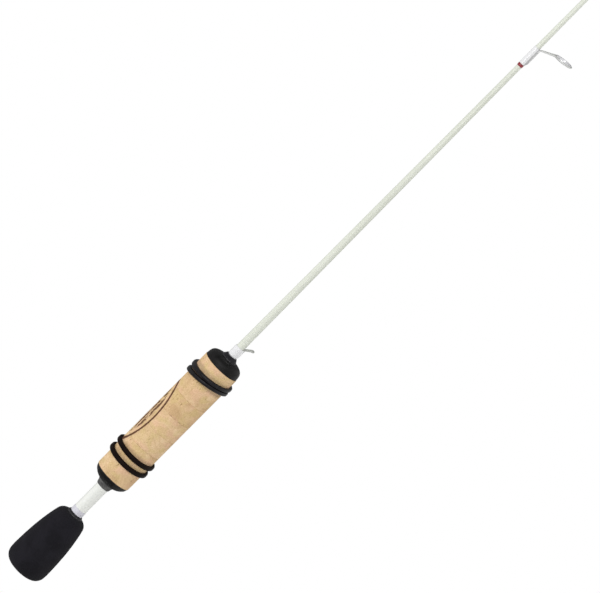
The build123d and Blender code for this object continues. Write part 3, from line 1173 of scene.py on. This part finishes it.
@dataclass
class CorkGrip:
    """Cork rings with a domed cap and a winding check at each end."""

    start: float = 80.6
    end: float = 172.8
    radius: float = 12.05
    bore: float = 4.1
    count: int = 7
    edge: float = 0.1
    rear_dome: tuple[Pair, ...] = ((75.2, 7.0), (76.1, 8.75), (77.9, 10.75), (79.3, 11.5), (80.6, 11.85))
    rear_check: tuple[Pair, ...] = (
        (71.3, 4.1), (71.3, 4.4), (71.7, 4.6), (72.3, 4.75), (73.2, 4.92), (73.6, 5.15), (74.1, 5.38), (74.8, 5.5),
        (75.2, 5.5), (75.2, 4.1),
    )
    front_dome: tuple[Pair, ...] = (
        (172.8, 11.85), (175.4, 11.55), (176.9, 10.95), (177.9, 9.95), (178.6, 8.5), (179.0, 6.9),
    )
    front_check: tuple[Pair, ...] = (
        (179.0, 2.63), (179.0, 5.3), (179.5, 5.26), (179.9, 5.05), (180.9, 4.3), (181.9, 3.62), (181.9, 2.63),
    )

    def build(self) -> None:
        """Make the rings, caps and checks."""
        for index, x0 in enumerate(spread(self.start, self.end, self.count)[:-1], start=1):
            self.ring(f"cork_ring_{index}", x0, x0 + (self.end - self.start) / self.count)
        rear = [(75.2, 4.1), *flow(self.rear_dome, 5), (80.6, 4.1)]
        turn_part("rear_cap", "dome", CAP_RUBBER, 112, 0.18, rear)
        turn_part("rear_winding_check", "ring", GREY_CHECK_AND_HIGHLIGHT, 72, 0.1, self.rear_check)
        front = [(172.8, 4.1), *flow(self.front_dome, 5), (179.0, 2.63), (177.85, 2.63), (177.85, 4.1)]
        turn_part("front_cap", "dome", CAP_RUBBER, 112, 0.15, front)
        turn_part("front_winding_check", "cone", TRIM_BLACK, 72, 0.12, self.front_check)

    def ring(self, node: str, x0: float, x1: float) -> None:
        """Make one cork ring with pits pressed into it.

        Args:
            node: CAD node it stands for.
            x0: Where it starts.
            x1: Where it ends.
        """
        r, bore = self.radius, self.bore
        outside = [(x, r) for x in spread(x0 + self.edge, x1 - self.edge, 30)]
        rear = [(x0, bore), (x0, r - 5.0), (x0, r - self.edge)]
        front = [(x1, r - self.edge), (x1, r - 5.0), (x1, bore), (x0, bore)]
        ring = turn(f"{node}_shaped", [*rear, *outside, *front], 176, 50.0)
        dent(ring, 0.12, 1.5, 0.30, 0.42)
        place_piece(ring, CORK, node)


@dataclass
class ThreadWrap:
    """Turns of thread round the blank, swelling over whatever wire lies under them."""

    node: str
    start: float
    end: float
    shaft: Shaft
    thread: float
    pitch: float = 0.22
    wires: tuple = ()
    snug: float = 0.03

    def build(self, finish: Finish) -> None:
        """Make the wrap.

        Args:
            finish: Its finish.
        """
        inner = self.shaft.radius(self.start) + self.snug
        tail = self.shaft.radius(self.end) + self.snug
        count = max(6, round((self.end - self.start) / self.pitch))
        step = (self.end - self.start) / count
        outline: list[Pair] = [(self.start, inner)]
        for i in range(count):
            x = self.start + i * step
            crown = inner + (self.thread - self.snug) * min(1.0, 0.55 + 0.15 * min(i, count - 1 - i))
            outline += [(x, crown - 0.022), (x + step * 0.3, crown - 0.003), (x + step * 0.7, crown - 0.003)]
        outline += [(self.end, crown - 0.022), (self.end, tail), (self.start, inner)]
        wrap = turn(f"{self.node}_thread", outline, 72, 80.0)
        if self.wires:
            settle(reshape(wrap, self.swell), wrap.name, 80.0)
        place_piece(wrap, finish, self.node)

    def swell(self, at: Vector) -> Vector:
        """Lift a point of the wrap over the wires below it.

        Args:
            at: Old place in metres.

        Returns:
            New place in metres.
        """
        x, y, z = at / MM
        radius = best = math.hypot(y, z)
        if radius < self.shaft.radius(x) + 0.12:
            return at
        for wire_y, wire_z, reach, begin in self.wires:
            rise = min(max((x - begin) / 1.6, 0.0), 1.0)
            offset = math.hypot(wire_y, wire_z)
            delta = math.atan2(y, -z) - math.atan2(wire_y, -wire_z)
            outer = reach * (0.35 + 0.65 * rise)
            side = offset * math.sin(delta)
            if abs(delta) < 1.2 and abs(side) < outer:
                crest = offset * math.cos(delta) + math.sqrt(outer ** 2 - side ** 2)
                best = max(best, crest - (1 - rise) * 0.3)
        grow = best / radius
        return Vector((at.x, at.y * grow, at.z * grow))


@dataclass
class HookKeeper:
    """Wire loop for parking a hook, bound on by thread."""

    shaft: Shaft
    foot_start: float = 183.4
    foot_y: float = 1.3
    foot_z: float = -2.85
    loop_x: float = 192.3
    loop_y: float = 1.8
    loop_z: float = -7.45
    wire: float = 0.5

    def build(self) -> None:
        """Make the loop and its wrap."""
        fy, fz, lx, ly, lz = self.foot_y, self.foot_z, self.loop_x, self.loop_y, self.loop_z
        half = [
            (self.foot_start, fy, fz), (186.5, fy, fz), (188.6, fy, fz), (189.6, fy, fz - 0.2),
            (190.3, fy + 0.06, fz - 0.85), (191.15, fy + 0.2, fz - 2.3), (191.9, ly - 0.14, lz + 1.6),
            (lx - 0.06, ly - 0.1, lz + 0.65), (lx, ly - 0.45, lz + 0.12), (lx, ly - 1.1, lz),
        ]
        loop = bend_wire(half + [(x, -y, z) for x, y, z in reversed(half)], self.wire)
        place_piece(settle(loop, "hook_keeper_loop"), KEEPER_STEEL, "hook_keeper")
        wires = tuple((side * fy, fz, self.wire + 0.22, 182.4) for side in (1, -1))
        ThreadWrap("keeper_wrap", 181.9, 188.8, self.shaft, 0.56, 0.26, wires).build(WHITE_WRAP)


@dataclass
class LineGuide:
    """One single-foot wire guide with its ring, thread wrap and red trim."""

    shaft: Shaft
    number: int
    x: float
    drop: float
    outer: float
    wire: float
    wall: float
    foot: float
    lean: float = 6.5
    join_angle: float = 30.0
    leg_run: float = 0.565
    foot_thick: float = 0.85
    foot_width: float = 1.5

    @property
    def mid(self) -> float:
        """Radius of the hoop's centre line."""
        return self.outer - self.wire

    @property
    def knee(self) -> float:
        """Where the legs leave the foot."""
        return self.x - self.leg_run * (self.drop - self.mid - self.shaft.radius(self.x))

    @property
    def foot_z(self) -> float:
        """Height of the foot's middle."""
        return -(self.shaft.radius(self.knee) + 0.03 + self.foot_thick / 2)

    @property
    def start(self) -> float:
        """Where the foot begins."""
        return self.knee - self.foot

    @property
    def side(self) -> float:
        """Half the distance between the legs."""
        return self.foot_width / 2 - self.wire * 0.6

    def spot(self, angle: float, radius: float) -> Vector:
        """Give a point on the ring's plane.

        Args:
            angle: Angle in degrees from the side next to the blank.
            radius: Distance from the ring's centre in millimetres.

        Returns:
            The point in millimetres.
        """
        lean, turned = math.radians(self.lean), math.radians(angle)
        out = Vector((math.sin(lean), 0.0, -math.cos(lean)))
        across = Vector((0, math.sin(turned) * radius, 0))
        return Vector((self.x, 0.0, -self.drop)) - out * (math.cos(turned) * radius) + across

    def build(self) -> None:
        """Make the frame, ring, wrap and trim."""
        parts = [bend_wire([self.spot(360 * i / 32, self.mid) for i in range(32)], self.wire, True)]
        parts += [self.leg(-1), self.leg(1), self.tongue()]
        weld(parts, f"guide_frame_{self.number}", 0.085 if self.number == 1 else 0.075, 3)
        size = (self.mid - self.wire - 0.05, self.wall, 1.7, 0.9)
        ring_insert(f"guide_ring_{self.number}", size, 72, self.x, self.drop, self.lean)
        reach = self.foot_thick / 2 + 0.16
        wires = tuple((side * 0.34, self.foot_z, reach, self.start - 0.9) for side in (-1, 0, 1))
        first = self.start - 1.2
        wrap = ThreadWrap(f"guide_wrap_{self.number}", first, self.knee + 0.2, self.shaft, 0.24, wires=wires)
        wrap.build(GUIDE_WRAP)
        ThreadWrap(f"trim_wrap_{self.number}", first - 2.0, first - 0.1, self.shaft, 0.24).build(RED_WRAP)

    def leg(self, sign: int) -> Piece:
        """Bend one leg, from along the foot to round the hoop.

        Args:
            sign: Side it stands on, 1 or -1.

        Returns:
            The leg.
        """
        knee, y, z = self.knee, sign * self.side, self.foot_z
        hip, end = Vector((knee, y, z)), self.spot(sign * self.join_angle, self.mid)
        foot = [(self.start + 2.5, y, z), (knee - 2.5, y, z), (knee - 0.7, y, z)]
        rise = [hip + (end - hip) * share for share in (0.05, 0.3, 0.65, 0.9)]
        hug = [self.spot(sign * (self.join_angle + a), self.mid + 0.02) for a in (6, 16)]
        return bend_wire([*foot, *rise, end, *hug], self.wire * 0.92)

    def tongue(self) -> Piece:
        """Make the flattened foot, thinned to a toe.

        Returns:
            The foot.
        """
        take()
        start, knee = self.start, self.knee
        top = (self.foot_z + self.foot_thick / 2 - 0.03) * MM
        centre = ((start + knee) / 2 * MM, 0.0, top - self.foot_thick * 0.4 * MM)
        size = ((knee - start) * MM, (self.side * 2 + 0.3) * MM, self.foot_thick * 0.8 * MM)
        bpy.ops.mesh.primitive_cube_add(size=1.0, location=centre, scale=size)
        foot = bpy.context.object
        bpy.ops.object.transform_apply(location=True, rotation=True, scale=True)
        with editing():
            bpy.ops.mesh.subdivide(number_cuts=5)

        def thin(at: Vector) -> Vector:
            """Thin the toe and narrow it."""
            share = min(max((at.x / MM - start) / 3.0, 0.0), 1.0)
            return Vector((at.x, at.y * (0.55 + 0.45 * share), top + (at.z - top) * (0.35 + 0.65 * share)))

        return round_edges(reshape(foot, thin), 0.12)


@dataclass
class TipTop:
    """Tube, braces and ring at the tip, with the wrap behind them."""

    shaft: Shaft
    ring_x: float = 659.2
    drop: float = 4.5
    outer: float = 3.3
    wire: float = 0.4
    tube: Pair = (647.5, 657.0)
    tube_radius: float = 1.05

    def build(self) -> None:
        """Make the tip-top."""
        a, b = self.tube
        r, wire, mid = self.tube_radius, self.wire, self.outer - self.wire
        nose = [(b, 0.0), (b, r - 0.4), (b - 0.1, r - 0.2), (b - 0.3, r - 0.04), (b - 0.5, r)]
        mouth = [(a + 0.1, r), (a, r - 0.08), (a, 0.66), (654.9, 0.62), (655.1, 0.0)]
        place_piece(turn("tip_tube_cap", nose + mouth, 48), WIRE_STEEL, "tip_tube")
        centre = Vector((self.ring_x, 0, -self.drop))
        turns = [FULL_TURN * i / 24 for i in range(24)]
        hoop = [centre + Vector((0, mid * math.sin(t), mid * math.cos(t))) for t in turns]
        chin = Vector((b - 0.4, 0, -r - wire * 0.6))
        prow = [chin - Vector((1.2, 0, 0)), chin, chin + Vector((1.2, 0, -0.1)), centre + Vector((0, 0, mid))]
        parts = [bend_wire(hoop, wire, True), bend_wire(prow, wire * 0.9)]
        for sign in (-1, 1):
            start, end = Vector((651.0, sign * (r + 0.05), -wire)), centre + Vector((0, sign * mid, 0))
            brace = [start + (end - start) * share for share in (0, 0.15, 0.5, 0.9, 1)]
            parts.append(bend_wire(brace, wire * 0.82))
        weld(parts, "tip_frame", 0.07, 2)
        ring_insert("tip_ring", (self.outer - 2 * wire - 0.05, 0.55, 1.3, 0.8), 56, self.ring_x, self.drop)
        ThreadWrap("tip_wrap", 640.0, 647.3, self.shaft, 0.22).build(WHITE_WRAP)


@dataclass
class ReelRings:
    """Rubber rings on the cork that hold a reel's feet; each sits a little askew."""

    inner: float = 12.1
    thick: float = 1.949
    width: float = 2.9
    crown: float = 0.92
    # Place, slope across and slope up of each ring, with its body and finish.
    rings: tuple = (
        (93.8, 0.070, -0.020, Body.RING_1, RING_RUBBER_WARM),
        (99.9, 0.052, 0.0, Body.RING_2, RING_RUBBER_WARM),
        (160.87, -0.038, -0.145, Body.RING_3, RING_RUBBER_COOL),
        (164.80, 0.054, -0.1026, Body.RING_4, RING_RUBBER_COOL),
    )

    def outline(self, place: float) -> list[Pair]:
        """Draw a ring's section: flat inside, crowned outside, with a fine mould line.

        Args:
            place: Middle of the ring along the rod.

        Returns:
            The closed outline, in millimetres.
        """
        half, top = self.width / 2, self.inner + self.thick
        front = quarter(half - self.crown, top - self.crown, self.crown, 0)
        seam = [(0.14, top - 0.03), (0.07, top), (-0.07, top), (-0.14, top - 0.03)]
        back = quarter(self.crown - half, top - self.crown, self.crown, 90)
        low = self.inner + 0.25
        foot = [(-half, low), (0.25 - half, self.inner), (half - 0.25, self.inner), (half, low)]
        return [(place + x, r) for x, r in (*front, *seam, *back, *foot, front[0])]

    def squeeze(self, at: Vector, middle: float) -> Vector:
        """Narrow a ring where it presses against its neighbour, low on the side of -Y.

        Args:
            at: Place on the ring.
            middle: Middle of the ring along the rod, in metres.

        Returns:
            The new place.
        """
        toward = -(0.82 * at.y + 0.57 * at.z) / max(math.hypot(at.y, at.z), 1e-6)
        share = (2.75 - 0.3 * toward) / self.width
        return Vector((middle + (at.x - middle) * share, at.y, at.z))

    def build(self) -> None:
        """Make the four rings."""
        for place, slope_y, slope_z, body, finish in self.rings:
            ring = turn(f"{body.value}_band", self.outline(place), 144, 40.0)
            if finish is RING_RUBBER_COOL:
                reshape(ring, lambda at, middle=place * MM: self.squeeze(at, middle))
            ring.data.transform(Matrix(((1, slope_y, slope_z, 0), (0, 1, 0, 0), (0, 0, 1, 0), (0, 0, 0, 1))))
            place_piece(ring, finish, body.value, body)


# ---------------------------------------------------------------------- studio


@dataclass
class Studio:
    """Pale floor, soft light, plain world and the camera, in metres."""

    floor_height: float = -0.36
    floor_radius: float = 1.15
    sky: tuple = (
        (0.0, (0.14, 0.14, 0.145, 1)), (0.45, (0.19, 0.19, 0.195, 1)),
        (0.75, (0.40, 0.40, 0.40, 1)), (1.0, (0.55, 0.55, 0.55, 1)),
    )
    # Name, place, side and watts of each lamp, and whether glossy surfaces mirror it.
    lamps: tuple = (
        ("key", (0.75, -2.1, 0.55), 1.5, 26.5, True),
        ("top", (-0.2, -0.5, 1.6), 1.0, 12.0, False),
        ("rear", (0.6, 1.6, 0.9), 1.0, 5.0, False),
    )
    lamp_aim: tuple = (0.25, 0.0, 0.0)
    eye: tuple = (0.81482, -2.90174, 0.00189)
    aim: tuple = (0.22733, 0.04016, -0.00381)
    roll: float = -45.248
    lens: float = 305.28

    def build(self) -> None:
        """Make the whole studio."""
        self.floor()
        self.world()
        for lamp in self.lamps:
            self.hang(*lamp)
        self.camera()
        bpy.context.scene.view_settings.view_transform = "Standard"

    def floor(self) -> None:
        """Make the floor, a wide disc with an eased rim."""
        take()
        centre = (0.3, 0, self.floor_height)
        bpy.ops.mesh.primitive_circle_add(
            vertices=128, radius=self.floor_radius, fill_type="NGON", location=centre
        )
        disc = bpy.context.object
        with editing():
            bpy.ops.mesh.inset(thickness=0.02, depth=0.004)
        settle(disc, "studio_floor")
        disc.data.materials.append(FloorFinish("studio_floor_paint", Slot.PALE_BAND).material())

    def world(self) -> None:
        """Make a white backdrop that lights the rod with a softer gradient."""
        world = bpy.context.scene.world = bpy.data.worlds.new("studio_world")
        world.use_nodes = True
        world.node_tree.nodes.clear()
        graph = Graph(world.node_tree)
        height = graph.axes(graph.read("TexCoord", "Generated"))[2]
        tone = graph.ramp(graph.scaled(height, 0.0, 1.0, -1.0), *self.sky)
        seen = graph.read("LightPath", "Is Camera Ray")
        light = graph.fill(graph.node("Background"), Color=graph.mix(seen, tone, (1.0, 1.0, 1.0, 1.0)))
        graph.fill(graph.node("OutputWorld"), Surface=light)

    def hang(self, name: str, place: Sequence[float], size: float, power: float, glints: bool) -> None:
        """Hang one soft area light.

        Args:
            name: Its name.
            place: Where it hangs.
            size: Side in metres.
            power: Power in watts.
            glints: Whether glossy surfaces mirror it.
        """
        take()
        bpy.ops.object.light_add(type="AREA", location=place)
        light = bpy.context.object
        light.name = name + "_light"
        light.data.size = size
        light.data.energy = power
        light.rotation_euler = (Vector(self.lamp_aim) - Vector(place)).to_track_quat("-Z", "Y").to_euler()
        light.visible_camera = False
        light.visible_glossy = glints

    def camera(self) -> None:
        """Place the camera."""
        back = (Vector(self.eye) - Vector(self.aim)).normalized()
        right = Vector((0, 0, 1)).cross(back).normalized()
        level = Matrix((right, back.cross(right), back)).transposed().to_4x4()
        data = bpy.data.cameras.new("studio_camera")
        data.lens = self.lens
        data.sensor_width = 36.0
        data.clip_end = 50.0
        camera = bpy.data.objects.new("studio_camera", data)
        turned = level @ Matrix.Rotation(math.radians(self.roll), 4, "Z")
        camera.matrix_world = Matrix.Translation(self.eye) @ turned
        bpy.context.scene.collection.objects.link(camera)
        bpy.context.scene.camera = camera


# Number, place, drop, outer radius, wire radius, ring wall and foot length of each line guide.
GUIDES = (
    (1, 441.3, 16.0, 6.40, 0.50, 0.85, 11.6),
    (2, 512.0, 12.0, 4.50, 0.45, 0.70, 9.6),
    (3, 569.0, 8.8, 3.50, 0.42, 0.60, 8.6),
    (4, 616.0, 6.6, 2.85, 0.40, 0.50, 7.8),
)


def main() -> None:
    """Build the studio, then every sub-assembly from butt to tip."""
    logging.basicConfig(level=logging.INFO, format="%(name)s: %(message)s")
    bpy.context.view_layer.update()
    Studio().build()
    shaft = Shaft()
    guides = [LineGuide(shaft, *sizes) for sizes in GUIDES]
    for part in (ButtEnd(), shaft, CorkGrip(), HookKeeper(shaft), *guides, TipTop(shaft), ReelRings()):
        part.build()


if __name__ == "__main__":
    main()
